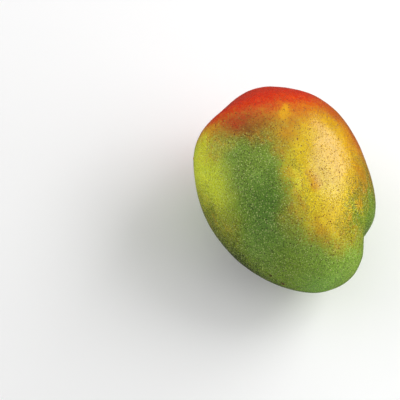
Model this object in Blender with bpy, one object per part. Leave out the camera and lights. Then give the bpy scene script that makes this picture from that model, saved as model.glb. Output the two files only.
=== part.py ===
"""A whole mango lying on one cheek, with the woody stub of its stalk.

The model stands in metres with +Z up. +Y runs along the fruit towards its stalk, +X points to the belly,
where the sinus and the beak are, and the two cheeks face +Z and -Z. The origin is on the surface that the
fruit lies on, under the middle of its box.
"""

import math
from collections import namedtuple

import bmesh
import bpy
from mathutils import Matrix, Vector

MM = 0.001

# The egg that the fruit grows from, before its lobes are added
EGG_LENGTH = 116.0 * MM  # stalk end to tip
EGG_WIDTH = 90.2 * MM  # back to belly
EGG_THICKNESS = 81.2 * MM  # cheek to cheek
WIDTH_TAPER = 0.11  # share of its width that it loses at the tip, and gains at the stalk
THICKNESS_TAPER = 0.05  # the same for its thickness
SPINE_ARCH = 1.5 * MM  # both ends lean this far to the belly
SPINE_HOOK = 2.1 * MM  # the tip leans this far to the back, and the stalk end as far to the belly
SHOULDER_SLANT = 3.5 * MM  # the belly side sits this much nearer the stalk

# A lobe is a soft swelling, or a hollow where its height is negative. Latitude is in degrees from the
# middle of the fruit, +90 at the tip and -90 at the stalk, and around is in degrees from +X, +90 at the
# upper cheek. The two reaches are the angles at which it has fallen to 37% of its height.
Lobe = namedtuple("Lobe", "latitude around height reach_along reach_around")
BELLY_LINE = -14.0  # the fruit lies rolled a little onto its belly, so its belly line is this low
LOBES = {
    "belly": Lobe(31.5, BELLY_LINE, 2.7 * MM, 18.0, 38.0),
    "sinus": Lobe(51.0, BELLY_LINE, -4.4 * MM, 8.5, 30.0),
    "beak": Lobe(71.5, BELLY_LINE, 2.8 * MM, 24.0, 55.0),
    "beak_corner": Lobe(74.0, -40.0, 1.0 * MM, 8.0, 12.0),
    "belly_shoulder": Lobe(-58.0, 45.0, -2.0 * MM, 24.5, 64.0),
    "back_shoulder": Lobe(-43.0, 153.0, 3.2 * MM, 14.5, 31.5),
    "stalk_shoulder": Lobe(-81.0, 13.0, 2.1 * MM, 18.0, 60.0),
    "stalk_hollow": Lobe(-90.0, 0.0, -2.5 * MM, 9.0, 60.0),
}
QUADS_PER_EDGE = 26  # of the cube that is rounded into the fruit

# How it lies: the fruit settles with its weight over its widest place
REST_PITCH = math.radians(2.4)  # the tip end drops this much
REST_ROLL = math.radians(2.2)  # the belly side drops this much
FLAT_DEPTH = 0.6 * MM  # how deep the peel is pressed flat where it rests

# Woody stub of the stalk
STUB_RADIUS = 3.3 * MM
STUB_WAIST = 2.9 * MM
STUB_BREAK_RADIUS = 3.2 * MM  # at the broken end
STUB_HEIGHT = 3.2 * MM  # above the floor of the stalk hollow
STUB_ROOT = 2.0 * MM  # sunk into the flesh
STUB_EDGE = 0.5 * MM  # rounding of both ends
STUB_SIDES = 24
GAP = 0.3 * MM  # left between the stub and its socket
SHARP_ANGLE = math.radians(40.0)


def clear_scene():
    for item in list(bpy.data.objects):
        bpy.data.objects.remove(item, do_unlink=True)


def plain_material(name, colour, roughness):
    material = bpy.data.materials.new(name)
    material.use_nodes = True
    shader = material.node_tree.nodes["Principled BSDF"]
    shader.inputs["Base Color"].default_value = (*colour, 1.0)
    shader.inputs["Roughness"].default_value = roughness
    shader.inputs["Metallic"].default_value = 0.0
    return material


def peel_material():
    return plain_material("mango_peel", (0.55, 0.42, 0.05), 0.42)


def wood_material():
    return plain_material("stalk_wood", (0.16, 0.09, 0.04), 0.85)


def add_object(name, shape, material):
    """Turn a bmesh into a smooth-shaded object with one material."""
    mesh = bpy.data.meshes.new(name)
    bmesh.ops.recalc_face_normals(shape, faces=shape.faces)
    shape.to_mesh(mesh)
    shape.free()
    mesh.shade_smooth()
    mesh.set_sharp_from_angle(angle=SHARP_ANGLE)
    mesh.materials.append(material)
    item = bpy.data.objects.new(name, mesh)
    bpy.context.collection.objects.link(item)
    return item


def lobe_push(lobe, latitude, around):
    """How far a lobe moves the point at this latitude and angle around the fruit."""
    turn = (around - lobe.around + 180.0) % 360.0 - 180.0
    along_share = (latitude - lobe.latitude) / lobe.reach_along
    around_share = turn * math.cos(math.radians(latitude)) / lobe.reach_around
    return lobe.height * math.exp(-(along_share**2) - around_share**2)


def fruit_point(direction):
    """The point of the peel in a direction given as (belly, stalk, upper cheek)."""
    belly, stalk, cheek = direction
    tip = -stalk
    width = EGG_WIDTH * (1.0 - WIDTH_TAPER * tip)
    thickness = EGG_THICKNESS * (1.0 - THICKNESS_TAPER * tip)
    point = Vector(
        (
            width / 2 * belly + SPINE_ARCH * tip**2 - SPINE_HOOK * tip**3,
            EGG_LENGTH / 2 * stalk + SHOULDER_SLANT * belly,
            thickness / 2 * cheek,
        )
    )
    latitude = math.degrees(math.atan2(tip, math.hypot(belly, cheek)))
    around = math.degrees(math.atan2(cheek, belly))
    push = sum(lobe_push(lobe, latitude, around) for lobe in LOBES.values())
    return point + push * direction


def make_fruit():
    """Round a gridded cube into the fruit, so that its quads stay even all over."""
    shape = bmesh.new()
    bmesh.ops.create_cube(shape, size=2.0)
    bmesh.ops.subdivide_edges(shape, edges=shape.edges, cuts=QUADS_PER_EDGE - 1, use_grid_fill=True)
    for vertex in shape.verts:
        even = Vector([math.tan(value * math.pi / 4) for value in vertex.co])
        vertex.co = fruit_point(even.normalized())
    return add_object("fruit", shape, peel_material())


def spin_profile(profile):
    """Turn a profile of (radius, height) points, from axis to axis, about Z."""
    shape = bmesh.new()
    points = [shape.verts.new((radius, 0.0, height)) for radius, height in profile]
    edges = [shape.edges.new(pair) for pair in zip(points, points[1:])]
    bmesh.ops.spin(
        shape,
        geom=points + edges,
        axis=(0.0, 0.0, 1.0),
        cent=(0.0, 0.0, 0.0),
        angle=math.tau,
        steps=STUB_SIDES,
        use_merge=True,
    )
    bmesh.ops.remove_doubles(shape, verts=shape.verts, dist=0.001 * MM)
    return shape


def make_stub():
    """The stub of the stalk, a little waisted, upright on the floor of the stalk hollow."""
    profile = [
        (0.0, -STUB_ROOT),
        (STUB_RADIUS - STUB_EDGE, -STUB_ROOT),
        (STUB_RADIUS, -STUB_ROOT + STUB_EDGE),
        (STUB_RADIUS, 0.0),
        (STUB_WAIST, STUB_HEIGHT / 2),
        (STUB_BREAK_RADIUS, STUB_HEIGHT - 2 * STUB_EDGE),
        (STUB_BREAK_RADIUS - STUB_EDGE, STUB_HEIGHT - STUB_EDGE / 2),
        (0.0, STUB_HEIGHT),
    ]
    return add_object("stem_stub", spin_profile(profile), wood_material())


def make_socket_cutter():
    """The space of the stub's root and its gap, which reaches out through the stalk hollow."""
    radius = STUB_RADIUS + GAP
    bottom = -STUB_ROOT - GAP
    profile = [(0.0, bottom), (radius, bottom), (radius, STUB_HEIGHT), (0.0, STUB_HEIGHT)]
    cutter = add_object("socket_cutter", spin_profile(profile), wood_material())
    cutter.hide_render = True
    cutter.display_type = "WIRE"
    return cutter


def stand_on_hollow():
    """Where the stub grows: its own Z points out of the floor of the stalk hollow."""
    floor = fruit_point(Vector((0.0, 1.0, 0.0)))
    return Matrix.Translation(floor) @ Matrix.Rotation(-math.pi / 2, 4, "X")


def resting_pose(fruit, stub):
    """Tilt the fruit as it settles, and put the origin under the middle of its box."""
    tilt = Matrix.Rotation(REST_PITCH, 4, "X") @ Matrix.Rotation(REST_ROLL, 4, "Y")
    points = [tilt @ vertex.co for vertex in fruit.data.vertices]
    points += [tilt @ stub.matrix_world @ vertex.co for vertex in stub.data.vertices]
    lows = [min(point[axis] for point in points) for axis in range(3)]
    highs = [max(point[axis] for point in points) for axis in range(3)]
    middle = Vector(((lows[0] + highs[0]) / 2, (lows[1] + highs[1]) / 2, lows[2] + FLAT_DEPTH))
    return Matrix.Translation(-middle) @ tilt


def press_flat(fruit):
    """The fruit's own weight presses a small flat spot where it touches the surface."""
    for vertex in fruit.data.vertices:
        vertex.co.z = max(vertex.co.z, 0.0)


def cut_socket(fruit, cutter):
    socket = fruit.modifiers.new("stub_socket", "BOOLEAN")
    socket.operation = "DIFFERENCE"
    socket.solver = "EXACT"
    socket.object = cutter


def build():
    clear_scene()
    fruit = make_fruit()
    stub = make_stub()
    cutter = make_socket_cutter()
    stub.matrix_world = stand_on_hollow()
    pose = resting_pose(fruit, stub)
    fruit.data.transform(pose)
    press_flat(fruit)
    for item in (stub, cutter):
        item.matrix_world = pose @ stand_on_hollow()
    cut_socket(fruit, cutter)


build()
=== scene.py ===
# %% [markdown]
# # A ripening mango
# A mango is one smooth fruit with the short woody stub of its stalk at one end. The solid model of both
# is already made at its real size, and it stays where it is. This lesson dresses it: a finer peel and a
# finer stub take the places of the plain solids, and each gets a finish made only of nodes.

# %% Load the frame
import math

import bmesh
import bpy
import numpy as np
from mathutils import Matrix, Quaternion, Vector, noise
from mathutils.bvhtree import BVHTree


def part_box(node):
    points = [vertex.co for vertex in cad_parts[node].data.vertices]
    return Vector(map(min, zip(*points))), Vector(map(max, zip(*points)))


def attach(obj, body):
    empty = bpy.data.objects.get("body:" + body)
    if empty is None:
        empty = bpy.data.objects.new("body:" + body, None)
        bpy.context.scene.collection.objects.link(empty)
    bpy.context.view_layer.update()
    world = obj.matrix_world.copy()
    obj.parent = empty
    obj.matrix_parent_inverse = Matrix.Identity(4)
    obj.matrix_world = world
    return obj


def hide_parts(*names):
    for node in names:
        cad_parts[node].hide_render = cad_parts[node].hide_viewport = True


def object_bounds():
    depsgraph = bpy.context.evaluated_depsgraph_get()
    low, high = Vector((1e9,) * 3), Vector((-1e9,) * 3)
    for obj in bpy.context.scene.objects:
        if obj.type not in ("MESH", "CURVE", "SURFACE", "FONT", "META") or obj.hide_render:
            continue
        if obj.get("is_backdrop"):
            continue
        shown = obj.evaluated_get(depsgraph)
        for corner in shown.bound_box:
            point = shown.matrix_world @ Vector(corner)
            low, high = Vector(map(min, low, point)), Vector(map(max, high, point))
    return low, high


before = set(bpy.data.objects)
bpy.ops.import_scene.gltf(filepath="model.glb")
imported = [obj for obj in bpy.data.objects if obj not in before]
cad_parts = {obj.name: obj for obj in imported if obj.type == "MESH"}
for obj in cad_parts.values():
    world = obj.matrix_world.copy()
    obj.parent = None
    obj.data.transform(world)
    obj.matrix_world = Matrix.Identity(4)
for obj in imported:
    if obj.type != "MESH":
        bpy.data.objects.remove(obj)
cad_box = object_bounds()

MM = 0.001
low, high = Vector(cad_box[0]), Vector(cad_box[1])
print("the mango measures", [round(side / MM, 1) for side in high - low], "mm")

# %% [markdown]
# ## The peel's shape
# The peel has no seam and no pole. A sphere made of rings would pinch at its two ends, so the cloth here
# is a cube with a fine grid, rounded into a ball: its quads are nearly even all over. Each point is then
# thrown outwards from the heart of the fruit until it meets the solid.

# %% A ball of even quads
def cube_ball(quads_per_edge):
    ball = bmesh.new()
    bmesh.ops.create_cube(ball, size=2.0)
    bmesh.ops.subdivide_edges(ball, edges=ball.edges, cuts=quads_per_edge - 1, use_grid_fill=True)
    for vertex in ball.verts:
        even = Vector([math.tan(value * math.pi / 4) for value in vertex.co])
        vertex.co = even.normalized()
    return ball


PEEL_QUADS = 120
peel_ball = cube_ball(PEEL_QUADS)
print("the ball has", len(peel_ball.faces), "quads")

# %% Throw the ball onto the solid fruit
def solid_surface(node):
    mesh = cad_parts[node].data
    corners = [vertex.co for vertex in mesh.vertices]
    return BVHTree.FromPolygons(corners, [tuple(face.vertices) for face in mesh.polygons])


fruit_low, fruit_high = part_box("fruit")
heart = (fruit_low + fruit_high) / 2
fruit_surface = solid_surface("fruit")
points = np.array([fruit_surface.ray_cast(heart, vertex.co)[0] for vertex in peel_ball.verts])
print("points on the peel:", len(points))

# %% [markdown]
# The solid has flat facets and a socket for the stub. Both go in the same way: a point that moves
# towards the mean of its neighbours loses its facet, and a point over the socket, moved so many times
# over, closes the hole like a drum skin.

# %% Close the socket and smooth the facets
edges = np.array([[vertex.index for vertex in edge.verts] for edge in peel_ball.edges])


def neighbour_mean(values):
    total = np.zeros_like(values)
    count = np.zeros(len(values))
    for here, there in ((edges[:, 0], edges[:, 1]), (edges[:, 1], edges[:, 0])):
        for axis in range(3):
            total[:, axis] += np.bincount(here, values[there, axis], len(values))
        count += np.bincount(here, minlength=len(values))
    return total / count[:, None]


SOCKET_RADIUS = 4.3 * MM
SOCKET_ROUNDS, FACET_ROUNDS = 400, 16
FACET_STEP = 0.5          # the share of the way to its neighbours' mean that a point goes in a round
stub_low, stub_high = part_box("stem_stub")
stub_middle = (stub_low + stub_high) / 2
beside_stub = np.linalg.norm((points - np.array(stub_middle))[:, [0, 2]], axis=1)
over_socket = (beside_stub < SOCKET_RADIUS) & (points[:, 1] > 0)
for _ in range(SOCKET_ROUNDS):
    points[over_socket] = neighbour_mean(points)[over_socket]
for _ in range(FACET_ROUNDS):
    points += FACET_STEP * (neighbour_mean(points) - points)
print("points over the socket:", int(over_socket.sum()))

# %% [markdown]
# A grown skin is never as even as a formula. Broad, faint swellings bend the highlight a little, and a
# few marks of the fruit's life are real shapes: a corky wart on the back, two scraped scars low on the
# side, and a puckered collar where the stalk went in. They could be sculpted by hand, but a height that is
# worked out for every point can be read and changed. It fades out at the flat resting spot.

# %% Swellings, wart, scars and collar
SWELLINGS = ((15 * MM, 0.18 * MM), (6 * MM, 0.10 * MM))     # how wide, how high
MARKS = {                                                   # where, how far it reaches, how high
    "wart": (Vector((-38.9, 31.2, 48.9)) * MM, 1.3 * MM, 0.55 * MM),
    "long_scar": (Vector((-24.7, -48.2, 35.0)) * MM, 1.5 * MM, -0.18 * MM),
    "round_scar": (Vector((-29.5, -43.4, 39.3)) * MM, 0.9 * MM, -0.15 * MM),
}
REST_FADE = 7 * MM
COLLAR_RADIUS, COLLAR_WIDTH, COLLAR_HEIGHT = 5.4 * MM, 1.5 * MM, 0.42 * MM
COLLAR_FOLDS, FOLD_SHARE = 9, 0.5


def skin_height(point):
    height = sum(depth * noise.noise(point / size) for size, depth in SWELLINGS)
    for place, reach, rise in MARKS.values():
        height += rise * math.exp(-((point - place).length / reach) ** 2)
    from_stalk = point - stub_middle
    ring = math.hypot(from_stalk.x, from_stalk.z)
    if point.y > 0:
        folds = 1 + FOLD_SHARE * math.cos(COLLAR_FOLDS * math.atan2(from_stalk.z, from_stalk.x))
        height += COLLAR_HEIGHT * folds * math.exp(-((ring - COLLAR_RADIUS) / COLLAR_WIDTH) ** 2)
    return height * min(1.0, max(0.0, point.z / REST_FADE))


for vertex, point in zip(peel_ball.verts, points):
    vertex.co = point
peel_ball.normal_update()
moves = [vertex.normal * skin_height(vertex.co) for vertex in peel_ball.verts]
for vertex, move in zip(peel_ball.verts, moves):
    vertex.co += move
print("highest swelling", round(max(move.length for move in moves) / MM, 2), "mm")

# %% [markdown]
# The finished ball becomes an object of the scene. It rides on the one body that a fruit has, and it
# stands in for the plain solid, which is hidden. The stub will go the same way.

# %% The peel becomes a piece
def add_piece(name, shape, node):
    mesh = bpy.data.meshes.new(name)
    shape.to_mesh(mesh)
    shape.free()
    mesh.shade_smooth()
    piece = bpy.data.objects.new(name, mesh)
    bpy.context.collection.objects.link(piece)
    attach(piece, "root")
    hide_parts(node)
    return piece


peel = add_piece("mango_fruit", peel_ball, "fruit")
print("the peel is", len(peel.data.polygons), "quads")

# %% [markdown]
# ## The stalk's stub
# A picked mango keeps a few millimetres of its stalk, snapped off at a natural joint. Its side is bark
# with fine ribs that run along it, and its end is a rough dish: a raised ring of wood fibres round a
# sunken pith. It is built as rings round the stub's own axis, read from the solid's flat root.

# %% Read the stub's axis from its solid
ROOT_FACING = -0.95          # the root's faces look straight into the fruit, away from the stalk's end
stub_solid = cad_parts["stem_stub"].data
root_faces = [face for face in stub_solid.polygons if face.normal.y < ROOT_FACING]
stub_axis = -sum((face.normal * face.area for face in root_faces), Vector()).normalized()
root_area = sum(face.area for face in root_faces)
stub_root = sum((face.center * face.area for face in root_faces), Vector()) / root_area
stub_length = max((vertex.co - stub_root).dot(stub_axis) for vertex in stub_solid.vertices)
stub_side = stub_axis.orthogonal().normalized()
stub_surface = solid_surface("stem_stub")
print("the stub is", round(stub_length / MM, 1), "mm from its root to its broken end")

# %% [markdown]
# A rib is a noise read at places squeezed across the stub and drawn out along it, so that its lumps turn
# into long ridges. They are cut into the solid's surface and never stand out of it.

# %% Bark ribs
RIB_DEPTH, RIB_WIDTH, RIB_LENGTH = 0.22 * MM, 0.42 * MM, 3.0 * MM


def lumps(where):
    return 0.5 + 0.5 * noise.noise(where)          # from 0 to 1


def bark_point(turn, climb):
    outwards = Quaternion(stub_axis, turn) @ stub_side
    level = stub_root + stub_axis * climb
    reach = stub_surface.ray_cast(level, outwards)[3]
    along = Vector((math.cos(turn), math.sin(turn), 0.0)) * reach / RIB_WIDTH
    along.z = climb / RIB_LENGTH
    return level + outwards * (reach - RIB_DEPTH * lumps(along))


print("a rib is about", round(RIB_WIDTH / MM, 2), "mm wide and", round(RIB_LENGTH / MM, 1), "mm long")

# %% [markdown]
# The broken end is a set of drops below its highest point: its rim rounds off, the wood inside the raised
# lip lies lower, the pith sinks in the middle, long splinters stand at uneven heights, and fine crumbs
# roughen it all. A place on the end is given by its turn and by its share of the way out to the rim.

# %% A broken end
RIM_DROP, RIM_CURVE = 0.35 * MM, 6
PITH_SHARE, PITH_DEPTH, PITH_WALL = 0.26, 0.75 * MM, 4
LIP_SHARE, LIP_DEPTH, LIP_STEEPNESS = 0.86, 0.30 * MM, 20
SPLINTER_DEPTH, SPLINTER_RING = 0.45 * MM, 3.25     # a ring of 20 cells of noise: ten or so splinters
CRUMB_SHARE, CRUMB_SIZE = 0.4, 0.55 * MM


def end_point(rim, turn, share):
    middle_of_end = stub_root + stub_axis * stub_length
    inwards = rim - middle_of_end
    inwards -= stub_axis * inwards.dot(stub_axis)
    point = middle_of_end + inwards * share
    splinter = Vector((math.cos(turn), math.sin(turn), 0.0)) * SPLINTER_RING
    inside_lip = 0.5 - 0.5 * math.tanh((share - LIP_SHARE) * LIP_STEEPNESS)
    drop = RIM_DROP * share**RIM_CURVE + PITH_DEPTH * math.exp(-((share / PITH_SHARE) ** PITH_WALL))
    drop += LIP_DEPTH * inside_lip
    drop += SPLINTER_DEPTH * share * lumps(splinter)
    drop += CRUMB_SHARE * SPLINTER_DEPTH * lumps(point / CRUMB_SIZE)
    return point - stub_axis * drop


print("the splinters differ by up to", round(SPLINTER_DEPTH / MM, 2), "mm in height")

# %% [markdown]
# Rings of points climb the bark and then close in over the end, and each ring is joined to the next by a
# band of quads. Two flat faces, at the foot in the fruit and at the very middle of the pith, shut it.

# %% Rings round the stub
STUB_SEGMENTS, BARK_RINGS, END_RINGS = 160, 34, 34
STUB_FOOT = 0.1 * MM
stub_shape = bmesh.new()
turns = [math.tau * step / STUB_SEGMENTS for step in range(STUB_SEGMENTS)]
top_of_bark = stub_length - 2 * RIM_DROP - SPLINTER_DEPTH     # below the rim's deepest notch
rings = []
for ring in range(BARK_RINGS + 1):
    climb = STUB_FOOT + (top_of_bark - STUB_FOOT) * ring / BARK_RINGS
    rings.append([stub_shape.verts.new(bark_point(turn, climb)) for turn in turns])
rims = [vertex.co.copy() for vertex in rings[-1]]
for ring in range(1, END_RINGS):
    share = 1 - ring / END_RINGS
    rings.append([stub_shape.verts.new(end_point(rim, turn, share)) for rim, turn in zip(rims, turns)])
for lower, upper in zip(rings, rings[1:]):
    for step in range(STUB_SEGMENTS):
        after = (step + 1) % STUB_SEGMENTS
        stub_shape.faces.new((lower[step], lower[after], upper[after], upper[step]))
stub_shape.faces.new(rings[-1])
stub_shape.faces.new(list(reversed(rings[0])))
stub = add_piece("stalk_stub", stub_shape, "stem_stub")
print("the stub is", len(stub.data.polygons), "faces")

# %% [markdown]
# ## Colour and node tools
# Colours are written as the hex codes that a painter would pick on a screen, so one function turns them
# to the linear values that light adds up in. A second one adds a node with its settings and its links,
# and every finish below is made with it.

# %% The two tools
def linear(code):
    def channel(pair):          # the standard curve of screen colours: straight near black, then a power
        value = int(pair, 16) / 255
        return value / 12.92 if value <= 0.04045 else ((value + 0.055) / 1.055) ** 2.4
    return (channel(code[1:3]), channel(code[3:5]), channel(code[5:7]), 1.0)


def add_node(tree, kind, inputs=None, **settings):
    made = tree.nodes.new(kind)
    for name, value in settings.items():
        setattr(made, name, value)
    for name, value in (inputs or {}).items():
        if isinstance(value, bpy.types.NodeSocket):
            tree.links.new(value, made.inputs[name])
        else:
            made.inputs[name].default_value = value
    return made


FACTOR, FIRST, SECOND, MIXED = 0, 6, 7, 2     # the sockets of a Mix node that mixes colours
NOISE_MIDDLE = 0.5                            # a noise goes from 0 to 1 about this value,
NOISE_LOW, NOISE_HIGH = 0.3, 0.7              # and nearly all of it lies between these two
BLUSH_RED = "#DA2C00"
print("red blush in linear light:", [round(value, 3) for value in linear(BLUSH_RED)])

# %% [markdown]
# ## The peel's finish
# Mango peel is a living skin under a thin wax. Where the fruit still makes sugar it is leaf green, where
# it has ripened the green fades to yellow and gold, and where the sun struck, round the stalk, it
# blushes red. To the eye that is a soft satin gloss over colours that run into each other. A flat map
# could be painted and wrapped round the fruit, but it would need a seam. Clouds of colour in space need
# none, so each ground is a soft cloud with its own place. First come the places themselves, in
# millimetres, pushed about a little by noise so that no cloud keeps a round outline.

# %% Places on the fruit, in millimetres
peel_finish = bpy.data.materials.new("waxed_mango_peel")
peel_finish.use_nodes = True
tree = peel_finish.node_tree
coordinates = add_node(tree, "ShaderNodeTexCoord")
place = add_node(tree, "ShaderNodeVectorMath", {0: coordinates.outputs["Object"], "Scale": 1 / MM},
                 operation="SCALE").outputs[0]

WANDER_SIZE, WANDER = 16.0, 7.0
wander_noise = add_node(tree, "ShaderNodeTexNoise",
                        {"Vector": place, "Scale": 1 / WANDER_SIZE, "Detail": 3.0, "Roughness": 0.55})
centred = add_node(tree, "ShaderNodeVectorMath",
                   {0: wander_noise.outputs["Color"], 1: (NOISE_MIDDLE,) * 3}, operation="SUBTRACT")
wandering = add_node(tree, "ShaderNodeVectorMath",
                     {0: centred.outputs[0], 1: (WANDER / NOISE_MIDDLE,) * 3, 2: place},
                     operation="MULTIPLY_ADD")
print("the grounds wander by up to", WANDER, "mm")

# %% [markdown]
# Seen close, one ground doesn't fade into the next: it breaks up into grains about half a millimetre
# wide, which gather in short streaks that run along the fruit, the way the skin stretched as it grew. So
# grain and streaks are added to the distance that decides where a cloud ends.

# %% Grain and streaks that tear the edges
GRAIN_SIZE, CLOUD_EDGE = 0.55, 0.75
grain = add_node(tree, "ShaderNodeTexNoise",
                 {"Vector": place, "Scale": 1 / GRAIN_SIZE, "Detail": 2.0, "Roughness": 0.6})
STREAK_ACROSS, STREAK_ALONG, STREAK_EDGE = 2.6, 11.0, 0.22
drawn_out = add_node(tree, "ShaderNodeMapping",
                     {"Vector": wandering.outputs[0],
                      "Scale": (1 / STREAK_ACROSS, 1 / STREAK_ALONG, 1 / STREAK_ACROSS)})
streaks = add_node(tree, "ShaderNodeTexNoise",
                   {"Vector": drawn_out.outputs[0], "Scale": 1.0, "Detail": 2.0, "Roughness": 0.55})
streaky = add_node(tree, "ShaderNodeMath",
                   {0: streaks.outputs["Fac"], 1: STREAK_EDGE, 2: -STREAK_EDGE / 2 - CLOUD_EDGE / 2},
                   operation="MULTIPLY_ADD")
ragged = add_node(tree, "ShaderNodeMath",
                  {0: grain.outputs["Fac"], 1: CLOUD_EDGE, 2: streaky.outputs[0]},
                  operation="MULTIPLY_ADD")
print("streaks of", STREAK_ACROSS, "by", STREAK_ALONG, "mm and grains of", GRAIN_SIZE, "mm")

# %% [markdown]
# The clouds are laid over each other like thin washes on leaf green: the broad greens first, then yellow,
# gold and orange, then the red blush, and small patches last. Two of them are painted shade on the low
# back edge, and one is a painted highlight on the cheek. Every row says, in millimetres, where a wash sits
# and how far it reaches across, along and through the fruit, then how many degrees it is turned, its
# colour, its strength, and the share of its reach that is full colour before it fades.

# %% The washes of colour
LEAF_GREEN = "#76922E"
WASHES = {
    "tip_leaf": ((6, -60, 42), (52, 32, 60), 0, "#80A239", 1.0, 0.1),
    "deep_green": ((-24, -23, 70), (18, 33, 50), -10, "#557B20", 1.0, 0.1),
    "back_band": ((-45, 14, 55), (21, 38, 42), -4, "#C0CC30", 1.0, 0.35),
    "back_olive": ((-42, -16, 48), (12, 20, 25), 0, "#868628", 0.6, 0.1),
    "far_olive": ((-53, 5, 42), (20, 30, 26), 0, "#767E1C", 0.8, 0.1),
    "low_leaf": ((-31, -34, 56), (15, 22, 26), 0, "#789A4A", 0.40, 0.1),
    "tip_low": ((-12, -62, 36), (26, 15, 22), 0, "#80B64E", 0.6, 0.1),
    # painted shade: the low back edge darkened to olive, where the fruit turns under into its own shadow
    "painted_low_shade": ((-42, -26, 8), (44, 50, 50), 0, "#36440E", 1.0, 0.35),
    "belly_yellow": ((20, -15, 72), (32, 46, 52), -30, "#D2BC18", 1.0, 0.7),
    "low_mix": ((-12, -30, 72), (14, 13, 25), 0, "#A89E26", 0.6, 0.1),
    "cheek_gold": ((26, -4, 74), (32, 44, 50), -14, "#D0A006", 0.9, 0.2),
    "low_gold": ((8, -38, 66), (16, 20, 30), 0, "#D6B014", 0.7, 0.1),
    "shoulder_amber": ((14, 25, 77), (42, 22, 40), -8, "#CC8200", 0.9, 0.2),
    "ochre": ((0, 9, 80), (14, 10, 20), -20, "#C68C0C", 0.9, 0.1),
    "edge_orange": ((46, 6, 58), (22, 42, 42), 0, "#B25604", 1.0, 0.15),
    "shoulder_orange": ((33, 20, 66), (17, 13, 20), -30, "#BA5804", 0.9, 0.1),
    "edge_olive": ((39, -26, 57), (23, 22, 34), 0, "#7A680C", 0.9, 0.3),
    "low_olive": ((21, -44, 60), (18, 13, 25), 0, "#7E801C", 0.8, 0.1),
    "edge_green": ((34, -41, 50), (24, 25, 40), 0, "#668420", 1.0, 0.3),
    "olive_brown": ((-13, 13, 79), (14, 9, 15), -30, "#84761A", 0.7, 0.1),
    "ember": ((-14, 26, 75), (23, 13, 30), -30, "#984C02", 0.95, 0.1),
    "back_orange": ((-28, 35, 62), (12, 11, 20), 0, "#D8AA20", 0.7, 0.1),
    "blush": ((4, 54, 60), (74, 38, 70), -15, BLUSH_RED, 1.0, 0.48),
    "gold_streak": ((9, 22, 78), (3.5, 10, 12), -38, "#E8AC00", 0.85, 0.1),
    "back_amber": ((-28, 22, 65), (13, 14, 26), 0, "#C8B028", 0.45, 0.1),
    # painted shade: the low back rim darkened further to olive
    "painted_low_back_shade": ((-46, -3, 43), (12, 18, 18), 0, "#566020", 0.6, 0.1),
    "edge_red": ((31, 14, 65), (13, 10, 20), -30, "#B65404", 0.55, 0.1),
    "edge_brown": ((25, -28, 61), (9, 14, 16), 0, "#8E6410", 0.5, 0.1),
    "edge_amber": ((31, -19, 62), (7, 9, 14), 0, "#C87A08", 0.5, 0.1),
    "band_light": ((-34, 28, 59), (9, 14, 14), 0, "#D2D22C", 0.6, 0.1),
    "upper_green": ((-29, 10, 71), (6, 9, 12), 0, "#64882A", 0.4, 0.1),
    "light_leaf": ((-22, -6, 76), (5, 8, 12), 0, "#8AB048", 0.4, 0.1),
    "dark_leaf": ((-13, -9, 78), (4, 8, 10), 0, "#64862A", 0.4, 0.1),
    "ember_brown": ((-12, 22, 76), (7, 6, 10), 0, "#7A6014", 0.45, 0.1),
    "amber_patch": ((4, 13, 79), (8, 6, 10), 0, "#D08408", 0.4, 0.1),
    "top_orange": ((12, 36, 68), (14, 7, 14), 0, "#DC4A04", 0.4, 0.1),
    "beak_leaf": ((35, -35, 36), (14, 13, 17), 0, "#82A64C", 0.75, 0.1),
    "mid_gold": ((-4, 2, 80), (8, 10, 14), -20, "#B88C10", 0.55, 0.1),
    "low_yellow": ((-10, -29, 73), (6, 8, 12), 0, "#C8AC20", 0.45, 0.1),
    "low_shadow": ((-3, -43, 64), (7, 9, 13), 0, "#6E6814", 0.45, 0.1),
    "low_dusk": ((10, -46, 61), (8, 9, 13), 0, "#7C7418", 0.4, 0.1),
    "mid_olive": ((-1, -9, 79), (5, 7, 10), 0, "#88881E", 0.45, 0.1),
    "low_amber": ((2, -52, 57), (8, 7, 14), 0, "#B49A20", 0.45, 0.1),
    # painted highlight: a pale stroke on the cheek where the window's gloss spreads, laid into the colour
    "painted_highlight_stroke": ((-5, -17, 78), (4, 11, 14), -25, "#E2D438", 0.7, 0.1),
    "orange_fleck": ((4, -19, 77), (5, 8, 12), -20, "#D07A08", 0.5, 0.1),
    "red_fleck": ((0, -41, 67), (4, 7, 12), 10, "#B86410", 0.3, 0.1),
}
print("washes on the palette:", len(WASHES))

# %% [markdown]
# One wash is a ball squashed and turned into its cloud. The distance from its middle, with the ragged
# edge added, is turned into how much of its colour covers what is already there.

# %% Lay the washes
def wash(ground, middle, reach, turn, colour, strength, core, where=wandering.outputs[0]):
    local = add_node(tree, "ShaderNodeMapping",
                     {"Vector": where, "Location": middle,
                      "Rotation": (0, 0, math.radians(turn)), "Scale": reach}, vector_type="TEXTURE")
    away = add_node(tree, "ShaderNodeVectorMath", {0: local.outputs[0]}, operation="LENGTH")
    edge = add_node(tree, "ShaderNodeMath", {0: away.outputs["Value"], 1: ragged.outputs[0]},
                    operation="ADD")
    cover = add_node(tree, "ShaderNodeMapRange",
                     {"Value": edge.outputs[0], "From Min": core, "From Max": 1.0,
                      "To Min": strength, "To Max": 0.0}, interpolation_type="SMOOTHSTEP")
    laid = add_node(tree, "ShaderNodeMix",
                    {FACTOR: cover.outputs[0], FIRST: ground, SECOND: linear(colour)}, data_type="RGBA")
    return laid.outputs[MIXED], cover.outputs[0]


ground = linear(LEAF_GREEN)
covers = {}
for name, row in WASHES.items():
    ground, covers[name] = wash(ground, *row)
print("washes laid:", len(covers))

# %% [markdown]
# The small marks get colours of their own. Round the stalk the red skin turns a dull olive, and next to
# the stub it is stained brown by dried sap. The wart is tan cork, and the scars have healed dark. They are
# real marks with a fixed place, so they don't wander with the grounds.

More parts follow.
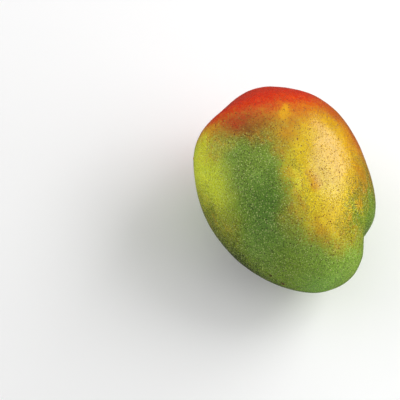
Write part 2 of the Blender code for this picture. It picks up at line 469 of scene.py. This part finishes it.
# %% Stalk stain, wart and scars
stalk_foot = stub_root / MM
STAINS = {                    # where, how far it reaches, colour, strength, share that is full colour
    "stalk_green": (stalk_foot, 12.0, "#A8942A", 0.55, 0.35),
    "sap_stain": (stalk_foot, 6.6, "#5E3C14", 0.90, 0.60),
    "wart": (MARKS["wart"][0] / MM, 1.7, "#A88A50", 0.85, 0.40),
    "long_scar": (MARKS["long_scar"][0] / MM, 2.2, "#4A2C10", 0.90, 0.30),
    "round_scar": (MARKS["round_scar"][0] / MM, 1.4, "#4E3414", 0.90, 0.30),
}
for name, (middle, reach, colour, strength, core) in STAINS.items():
    ground = wash(ground, middle, (reach,) * 3, 0, colour, strength, core, where=place)[0]
print("small marks coloured:", len(STAINS))

# %% [markdown]
# ## Lenticels and grain
# The peel breathes through lenticels, tiny corky pores. On green skin most are pale specks drawn out
# along the fruit, and on gold and red skin they show as brown dots. A Voronoi texture scatters them: each
# cell holds one pore, and the cell's own random colour says how strong it is. Real pores are about 0.3 mm
# across, and they are drawn at about 0.5 to 0.8 mm so that they show.

# %% Pores
PORE_HEART, PORE_RIM = 0.35, 0.75          # in sizes from its middle: where a pore begins and ends to fade


def pores(spacing, stretch, size, share, seed):
    stretched = add_node(tree, "ShaderNodeMapping",
                         {"Vector": place, "Location": (seed, seed, seed),
                          "Scale": (1 / spacing, 1 / (spacing * stretch), 1 / spacing)})
    cells = add_node(tree, "ShaderNodeTexVoronoi", {"Vector": stretched.outputs[0], "Scale": 1.0})
    dot = add_node(tree, "ShaderNodeMapRange",
                   {"Value": cells.outputs["Distance"], "From Min": PORE_HEART * size / spacing,
                    "From Max": PORE_RIM * size / spacing, "To Min": 1.0, "To Max": 0.0},
                   interpolation_type="SMOOTHSTEP")
    lot = add_node(tree, "ShaderNodeSeparateColor", {"Color": cells.outputs["Color"]})
    chosen = add_node(tree, "ShaderNodeMapRange",
                      {"Value": lot.outputs["Red"], "From Min": 1 - share, "From Max": 1.0})
    both = add_node(tree, "ShaderNodeMath", {0: dot.outputs[0], 1: chosen.outputs[0]},
                    operation="MULTIPLY")
    return both.outputs[0]


pale_pores = pores(spacing=0.80, stretch=1.4, size=0.45, share=1.0, seed=3.1)
dark_pores = pores(spacing=0.88, stretch=1.1, size=0.52, share=0.9, seed=11.7)
strong_pores = pores(spacing=2.2, stretch=1.0, size=0.75, share=0.8, seed=23.3)
print("three sizes of pore")

# %% [markdown]
# Grain and pores show differently on green and on gold, so both ask how green the ground is: on a leaf
# the green light leads the red, and on gold the red leads the green. They also ask how calm the skin is,
# because the pale band down the back is smoother than the rest.

# %% How green and how calm the ground is
GOLD_LEAD, GREEN_LEAD = -0.24, 0.06
BAND_CALM = 0.7
parts = add_node(tree, "ShaderNodeSeparateColor", {"Color": ground})
green_lead = add_node(tree, "ShaderNodeMath", {0: parts.outputs["Green"], 1: parts.outputs["Red"]},
                      operation="SUBTRACT")
green = add_node(tree, "ShaderNodeMapRange",
                 {"Value": green_lead.outputs[0], "From Min": GOLD_LEAD, "From Max": GREEN_LEAD})
lively = add_node(tree, "ShaderNodeMapRange",
                  {"Value": covers["back_band"], "To Min": 1.0, "To Max": BAND_CALM})
leaf = linear(LEAF_GREEN)
print("in leaf green the green leads by", round(leaf[1] - leaf[0], 2))

# %% [markdown]
# The same grain that tears the edges also darkens and lightens the skin. It is faint on gold, plain on
# green, and strongest where green turns to gold, since the two colours lie there grain by grain. A streak
# is a little paler or darker than its ground as well.

# %% Grain over the ground
GOLD_CONTRAST, GREEN_CONTRAST, TURNING_CONTRAST = 1.1, 3.0, 3.0
TURN_GOLD, TURN_GREEN, HALF_TURNED = -0.20, 0.10, 0.5
STREAK_DARK, STREAK_LIGHT = 0.93, 1.13
contrast = add_node(tree, "ShaderNodeMapRange",
                    {"Value": green.outputs[0], "To Min": GOLD_CONTRAST, "To Max": GREEN_CONTRAST})
turned = add_node(tree, "ShaderNodeMapRange",
                  {"Value": green_lead.outputs[0], "From Min": TURN_GOLD, "From Max": TURN_GREEN})
halfway = add_node(tree, "ShaderNodeMath", {0: turned.outputs[0], 1: HALF_TURNED}, operation="PINGPONG")
turning = add_node(tree, "ShaderNodeMath",
                   {0: halfway.outputs[0], 1: TURNING_CONTRAST, 2: contrast.outputs[0]},
                   operation="MULTIPLY_ADD")
calm_contrast = add_node(tree, "ShaderNodeMath", {0: turning.outputs[0], 1: lively.outputs[0]},
                         operation="MULTIPLY")
speckle = add_node(tree, "ShaderNodeMath", {0: grain.outputs["Fac"], 1: NOISE_MIDDLE},
                   operation="SUBTRACT")
streak_shade = add_node(tree, "ShaderNodeMapRange",
                        {"Value": streaks.outputs["Fac"], "From Min": NOISE_LOW, "From Max": NOISE_HIGH,
                         "To Min": STREAK_DARK, "To Max": STREAK_LIGHT}, clamp=False)
shade_here = add_node(tree, "ShaderNodeMath",
                      {0: speckle.outputs[0], 1: calm_contrast.outputs[0], 2: streak_shade.outputs[0]},
                      operation="MULTIPLY_ADD")
print("the grain's contrast goes from", GOLD_CONTRAST, "on gold to", GREEN_CONTRAST, "on green")

# %% [markdown]
# Where green turns to gold, single streaks ripen before their neighbours and show as orange flecks. The
# low back edge, where shade is painted into the colour, gets none: flecks come from the sun.

# %% Orange flecks at the turn
FLECK, FLECK_STRENGTH = "#BA6E0C", 0.85
FLECK_FROM, FLECK_FULL = 0.50, 0.62
fleck_run = add_node(tree, "ShaderNodeMapRange",
                     {"Value": streaks.outputs["Fac"], "From Min": FLECK_FROM, "From Max": FLECK_FULL,
                      "To Max": FLECK_STRENGTH}, interpolation_type="SMOOTHSTEP")
outside_painted_shade = add_node(tree, "ShaderNodeMapRange",
                 {"Value": covers["painted_low_shade"], "To Min": 1.0, "To Max": 0.0})
fleck_places = add_node(tree, "ShaderNodeMath", {0: halfway.outputs[0], 1: outside_painted_shade.outputs[0]},
                        operation="MULTIPLY")
fleck_cover = add_node(tree, "ShaderNodeMath", {0: fleck_run.outputs[0], 1: fleck_places.outputs[0]},
                       operation="MULTIPLY")
flecked = add_node(tree, "ShaderNodeMix",
                   {FACTOR: fleck_cover.outputs[0], FIRST: ground, SECOND: linear(FLECK)},
                   data_type="RGBA")
coloured = add_node(tree, "ShaderNodeVectorMath",
                    {0: flecked.outputs[MIXED], "Scale": shade_here.outputs[0]},
                    operation="SCALE").outputs[0]
print("flecks begin at", FLECK_FROM, "of the streaks' noise and are full at", FLECK_FULL)

# %% [markdown]
# Last come the three sizes of pore. Pale ones belong to green skin and nearly vanish on gold. The dark
# ones are cork, which is the ground's own colour seen through a thin brown film, so they are mixed from
# the ground times a brown and fit on every colour of skin.

# %% Pores over the ground
PALE_PORE, CORK_TINT = "#CAD684", "#8A4E28"


def dotted(under, dots, colour, on_gold, on_green):
    strength = add_node(tree, "ShaderNodeMapRange",
                        {"Value": green.outputs[0], "To Min": on_gold, "To Max": on_green})
    calmed = add_node(tree, "ShaderNodeMath", {0: strength.outputs[0], 1: lively.outputs[0]},
                      operation="MULTIPLY")
    cover = add_node(tree, "ShaderNodeMath", {0: dots, 1: calmed.outputs[0]}, operation="MULTIPLY")
    laid = add_node(tree, "ShaderNodeMix",
                    {FACTOR: cover.outputs[0], FIRST: under, SECOND: colour}, data_type="RGBA")
    return laid.outputs[MIXED]


cork = add_node(tree, "ShaderNodeVectorMath", {0: ground, 1: linear(CORK_TINT)[:3]}, operation="MULTIPLY")
coloured = dotted(coloured, pale_pores, linear(PALE_PORE), on_gold=0.15, on_green=0.85)
coloured = dotted(coloured, dark_pores, cork.outputs[0], on_gold=0.90, on_green=0.70)
coloured = dotted(coloured, strong_pores, cork.outputs[0], on_gold=0.95, on_green=0.85)
print("three layers of pores laid over the ground")

# %% [markdown]
# ## Wax
# Plant wax bends light like a light oil, with an IOR near 1.45. Handling has worn it unevenly, so it is
# smooth in some patches and duller in others, and the peel under it is faintly pebbled: a window shows in
# it as a soft pale patch with a blurred edge. A pore is a dry pit in the wax, rough and without shine.

# %% Wax and relief
WAX_IOR, CORK_ROUGHNESS = 1.45, 0.80
WAX_SMOOTH, WAX_WORN = 0.17, 0.26
WAX_PATCH, WORN_FROM, WORN_FULL = 7.0, 0.35, 0.65
PIT_DEPTH = 1.8             # in heights of the grain
RELIEF_SHARE, RELIEF_DEPTH = 0.4, 0.12 * MM
corky = add_node(tree, "ShaderNodeMath", {0: dark_pores, 1: strong_pores}, operation="MAXIMUM")
wax_patches = add_node(tree, "ShaderNodeTexNoise",
                       {"Vector": place, "Scale": 1 / WAX_PATCH, "Detail": 2.0, "Roughness": 0.5})
wax_roughness = add_node(tree, "ShaderNodeMapRange",
                         {"Value": wax_patches.outputs["Fac"], "From Min": WORN_FROM,
                          "From Max": WORN_FULL, "To Min": WAX_SMOOTH, "To Max": WAX_WORN})
roughness = add_node(tree, "ShaderNodeMapRange",
                     {"Value": corky.outputs[0], "To Min": wax_roughness.outputs[0],
                      "To Max": CORK_ROUGHNESS})
pitted = add_node(tree, "ShaderNodeMath", {0: corky.outputs[0], 1: -PIT_DEPTH, 2: grain.outputs["Fac"]},
                  operation="MULTIPLY_ADD")
relief = add_node(tree, "ShaderNodeBump",
                  {"Height": pitted.outputs[0], "Strength": RELIEF_SHARE, "Distance": RELIEF_DEPTH})
skin = tree.nodes["Principled BSDF"]
skin.inputs["IOR"].default_value = WAX_IOR
tree.links.new(coloured, skin.inputs["Base Color"])
tree.links.new(roughness.outputs[0], skin.inputs["Roughness"])
tree.links.new(relief.outputs[0], skin.inputs["Normal"])
peel.data.materials.append(peel_finish)
print("the peel's finish has", len(tree.nodes), "nodes")

# %% [markdown]
# ## The stub's finish
# The stub is dry wood: dark ribbed bark outside, and at the snapped end pale fibres that fan out from a
# dark pith. The pattern follows the stub, so the places are first turned to lie along its axis. Bark and
# broken wood have no polish at all, so the roughness is high and the light just dies on it.

# %% Places along the stub, in millimetres
stub_finish = bpy.data.materials.new("dry_stalk_wood")
stub_finish.use_nodes = True
tree = stub_finish.node_tree
coordinates = add_node(tree, "ShaderNodeTexCoord")
place = add_node(tree, "ShaderNodeVectorMath", {0: coordinates.outputs["Object"], "Scale": 1 / MM},
                 operation="SCALE").outputs[0]
stub_turn = stub_axis.to_track_quat("Z", "Y").to_euler()
in_stub = add_node(tree, "ShaderNodeMapping",
                   {"Vector": place, "Location": stalk_foot, "Rotation": stub_turn},
                   vector_type="TEXTURE").outputs[0]
stub_parts = add_node(tree, "ShaderNodeSeparateXYZ", {0: in_stub})
ACROSS = (1, 1, 0)          # keeps what lies across the axis and drops what lies along it
flat = add_node(tree, "ShaderNodeVectorMath", {0: in_stub, 1: ACROSS}, operation="MULTIPLY")
from_axis = add_node(tree, "ShaderNodeVectorMath", {0: flat.outputs[0]}, operation="LENGTH")
fan = add_node(tree, "ShaderNodeMath", {0: stub_parts.outputs["Y"], 1: stub_parts.outputs["X"]},
               operation="ARCTAN2")
stub_radius = (stub_high.x - stub_low.x) / 2 / MM
print("the stub's radius is", round(stub_radius, 1), "mm")

# %% [markdown]
# Bark has a grain a third of a millimetre wide, drawn out along the stub. One noise makes both its tone
# and, further down, its relief, so that what is dark is also low.

# %% Bark
BARK_DARK, BARK_LIGHT = "#2C1C10", "#7C5E3A"
BARK_GRAIN, BARK_RUN = 0.35, 2.4
bark_places = add_node(tree, "ShaderNodeMapping",
                       {"Vector": in_stub, "Scale": (1 / BARK_GRAIN, 1 / BARK_GRAIN, 1 / BARK_RUN)})
bark_grain = add_node(tree, "ShaderNodeTexNoise",
                      {"Vector": bark_places.outputs[0], "Scale": 1.0, "Detail": 4.0})
bark_tone = add_node(tree, "ShaderNodeMapRange",
                     {"Value": bark_grain.outputs["Fac"], "From Min": NOISE_LOW, "From Max": NOISE_HIGH})
bark = add_node(tree, "ShaderNodeMix",
                {FACTOR: bark_tone.outputs[0], FIRST: linear(BARK_DARK), SECOND: linear(BARK_LIGHT)},
                data_type="RGBA")
print("the bark's grain is", BARK_GRAIN, "by", BARK_RUN, "mm")

# %% [markdown]
# At the broken end the wood is laid out by its turn round the axis and its distance from it, so the same
# kind of noise makes fibres that fan out. Pith covers the middle, and bark the outer rim and the side.

# %% Broken wood, pith and where the bark begins
WOOD_DARK, WOOD_LIGHT, PITH = "#7E5C34", "#CDAE7E", "#3A2414"
FAN_SPLINTERS, SPLINTER_RUN = 9.0, 0.8     # cells of noise to a radian, and to a millimetre outwards
PITH_HEART, PITH_RIM = 0.7, 1.5            # in radii of the pith: where it begins and ends to fade
BARK_SHARE, SOFT_EDGE = 0.84, 0.10
fan_places = add_node(tree, "ShaderNodeCombineXYZ", {"X": fan.outputs[0], "Y": from_axis.outputs["Value"]})
splinter_places = add_node(tree, "ShaderNodeMapping",
                           {"Vector": fan_places.outputs[0], "Scale": (FAN_SPLINTERS, SPLINTER_RUN, 1.0)})
splinters = add_node(tree, "ShaderNodeTexNoise",
                     {"Vector": splinter_places.outputs[0], "Scale": 1.0, "Detail": 3.0})
wood_tone = add_node(tree, "ShaderNodeMapRange",
                     {"Value": splinters.outputs["Fac"], "From Min": NOISE_LOW, "From Max": NOISE_HIGH})
wood = add_node(tree, "ShaderNodeMix",
                {FACTOR: wood_tone.outputs[0], FIRST: linear(WOOD_DARK), SECOND: linear(WOOD_LIGHT)},
                data_type="RGBA")
pith_cover = add_node(tree, "ShaderNodeMapRange",
                      {"Value": from_axis.outputs["Value"],
                       "From Min": stub_radius * PITH_SHARE * PITH_HEART,
                       "From Max": stub_radius * PITH_SHARE * PITH_RIM, "To Min": 1.0, "To Max": 0.0})
cored = add_node(tree, "ShaderNodeMix",
                 {FACTOR: pith_cover.outputs[0], FIRST: wood.outputs[MIXED], SECOND: linear(PITH)},
                 data_type="RGBA")
bark_cover = add_node(tree, "ShaderNodeMapRange",
                      {"Value": from_axis.outputs["Value"],
                       "From Min": stub_radius * (BARK_SHARE - SOFT_EDGE),
                       "From Max": stub_radius * BARK_SHARE})
stub_colour = add_node(tree, "ShaderNodeMix",
                       {FACTOR: bark_cover.outputs[0], FIRST: cored.outputs[MIXED],
                        SECOND: bark.outputs[MIXED]}, data_type="RGBA")
print("the pith is", round(2 * stub_radius * PITH_SHARE, 1), "mm across")

# %% The stub's shader
WOOD_ROUGHNESS = 0.85
BARK_RELIEF_SHARE, BARK_RELIEF_DEPTH = 0.5, 0.15 * MM
stub_relief = add_node(tree, "ShaderNodeBump",
                       {"Height": bark_grain.outputs["Fac"], "Strength": BARK_RELIEF_SHARE,
                        "Distance": BARK_RELIEF_DEPTH})
stub_shader = tree.nodes["Principled BSDF"]
stub_shader.inputs["Roughness"].default_value = WOOD_ROUGHNESS
tree.links.new(stub_colour.outputs[MIXED], stub_shader.inputs["Base Color"])
tree.links.new(stub_relief.outputs[0], stub_shader.inputs["Normal"])
stub.data.materials.append(stub_finish)
print("materials:", [material.name for material in (peel_finish, stub_finish)])

# %% [markdown]
# ## Camera
# The mango lies as it would on a table, so the camera looks down on it, from the side that the tip points
# to. A long lens from three quarters of a metre keeps its outline free of bulge. The camera aims beside
# the fruit and not at it, so that the fruit sits to the right in the frame.

# %% Camera
LOOK_FROM, LOOK_DOWN = math.radians(-24.06), math.radians(60.0)     # turned round the fruit, and down
AIM_LEFT, AIM_BELOW = 45.3 * MM, 6.6 * MM
LENS, SENSOR = 135.0, 36.0
CAMERA_AWAY = 789.5 * MM
sideways = math.cos(LOOK_DOWN)
back = Vector((math.sin(LOOK_FROM) * sideways, -math.cos(LOOK_FROM) * sideways, math.sin(LOOK_DOWN)))
right = Vector((math.cos(LOOK_FROM), math.sin(LOOK_FROM), 0.0))
up = back.cross(right)
fruit_middle = Vector((0.0, 0.0, high.z / 2))
aim = fruit_middle - AIM_LEFT * right - AIM_BELOW * up
camera_data = bpy.data.cameras.new("camera")
camera_data.lens = LENS
camera_data.sensor_width = SENSOR
camera = bpy.data.objects.new("camera", camera_data)
camera.location = aim + CAMERA_AWAY * back
camera.rotation_euler = back.to_track_quat("Z", "Y").to_euler()
bpy.context.collection.objects.link(camera)
bpy.context.scene.camera = camera
print("the camera is", round(camera.location.z / MM), "mm above the floor")

# %% [markdown]
# ## Floor
# The fruit rests on plain white paper. Paper is matt and a little under full white. It is kept out of
# the wax's reflections, since its white would otherwise draw a bright line round the low edge of the
# fruit, where a real table is darkened by clutter and hands.

# %% Floor
FLOOR_REACH = 6.0
PAPER_WHITE, PAPER_ROUGHNESS = "#F9F9F9", 0.9
corners = [(-FLOOR_REACH, -FLOOR_REACH, 0), (FLOOR_REACH, -FLOOR_REACH, 0),
           (FLOOR_REACH, FLOOR_REACH, 0), (-FLOOR_REACH, FLOOR_REACH, 0)]
floor_mesh = bpy.data.meshes.new("floor")
floor_mesh.from_pydata(corners, [], [(0, 1, 2, 3)])
floor = bpy.data.objects.new("floor", floor_mesh)
bpy.context.collection.objects.link(floor)
floor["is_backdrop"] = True
floor.visible_glossy = False
paper = bpy.data.materials.new("white_paper")
paper.use_nodes = True
paper_shader = paper.node_tree.nodes["Principled BSDF"]
paper_shader.inputs["Base Color"].default_value = linear(PAPER_WHITE)
paper_shader.inputs["Roughness"].default_value = PAPER_ROUGHNESS
floor_mesh.materials.append(paper)
print("the paper is", 2 * FLOOR_REACH, "m wide")

# %% [markdown]
# ## Studio light
# The room is a pale dome, brighter overhead and dim near the horizon. Its dim lower half is what the wax
# mirrors at the rims, and it keeps them deep in colour. The camera itself sees a plain wall there, which
# starts as grey as the far end of the paper and gets paler upwards, so that the two meet without an edge.

# %% Dome and wall
DOME_LOW, DOME_HIGH = -0.1, 0.5
DIM, BRIGHT = 0.07, 0.47
WALL_FOOT, WALL_TOP, WALL_FADE = 0.42, 0.85, 0.10
world = bpy.data.worlds.new("studio")
bpy.context.scene.world = world
world.use_nodes = True
tree = world.node_tree
coordinates = add_node(tree, "ShaderNodeTexCoord")
axes = add_node(tree, "ShaderNodeSeparateXYZ", {0: coordinates.outputs["Generated"]})
dome = add_node(tree, "ShaderNodeMapRange",
                {"Value": axes.outputs["Z"], "From Min": DOME_LOW, "From Max": DOME_HIGH,
                 "To Min": DIM, "To Max": BRIGHT}, interpolation_type="SMOOTHSTEP")
wall = add_node(tree, "ShaderNodeMapRange",
                {"Value": axes.outputs["Z"], "From Min": 0.0, "From Max": WALL_FADE,
                 "To Min": WALL_FOOT, "To Max": WALL_TOP}, interpolation_type="SMOOTHSTEP")
who_looks = add_node(tree, "ShaderNodeLightPath")
seen = add_node(tree, "ShaderNodeMix",
                {"Factor": who_looks.outputs["Is Camera Ray"], "A": dome.outputs[0],
                 "B": wall.outputs[0]}, data_type="FLOAT")
sky = tree.nodes["Background"]
sky.inputs["Color"].default_value = (1, 1, 1, 1)
tree.links.new(seen.outputs["Result"], sky.inputs["Strength"])
print("the dome goes from", DIM, "to", BRIGHT)

# %% [markdown]
# One large soft panel is the window that shines in the wax: its mirror image is the long pale patch on
# the cheek, so its size, place and roll decide the shape of that patch. Two weaker panels lift the
# shadows from behind and in front. They are hidden from reflections, so that the wax shows one window.

# %% Panels
def soft_panel(name, around, above, distance, size, watts, roll=0.0, gloss=True):
    turn, climb = math.radians(around), math.radians(above)
    level = math.cos(climb)
    towards = Vector((math.cos(turn) * level, math.sin(turn) * level, math.sin(climb)))
    data = bpy.data.lights.new(name, "AREA")
    data.shape = "RECTANGLE"
    data.size, data.size_y = size
    data.energy = watts
    lamp = bpy.data.objects.new(name, data)
    lamp.location = fruit_middle + towards * distance
    facing = towards.to_track_quat("Z", "Y") @ Quaternion((0, 0, 1), math.radians(roll))
    lamp.rotation_euler = facing.to_euler()
    lamp.visible_glossy = gloss
    lamp.visible_camera = False
    bpy.context.collection.objects.link(lamp)
    return lamp


panels = [
    soft_panel("window", around=5, above=34, distance=0.8, size=(0.84, 0.46), watts=4.8, roll=-50),
    soft_panel("back_fill", around=141, above=15, distance=0.9, size=(0.8, 0.6), watts=4.2, gloss=False),
    soft_panel("front_fill", around=-35, above=26, distance=1.0, size=(0.8, 0.8), watts=4.1, gloss=False),
]
bpy.context.scene.view_settings.view_transform = "Standard"
print("panels:", [panel.name for panel in panels])

# %% [markdown]
# ## Size
# Both boxes are held side by side, and the print gives how much larger the finished mango is than
# its solid.

# %% Size
visual_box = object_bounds()
sizes = {"cad": [list(corner) for corner in cad_box], "visual": [list(corner) for corner in visual_box]}
grown = [(b - a) - (d - c) for a, b, c, d in zip(*sizes["visual"], *sizes["cad"])]
print("the finished mango is larger than the solid by", [round(side / MM, 2) for side in grown], "mm")
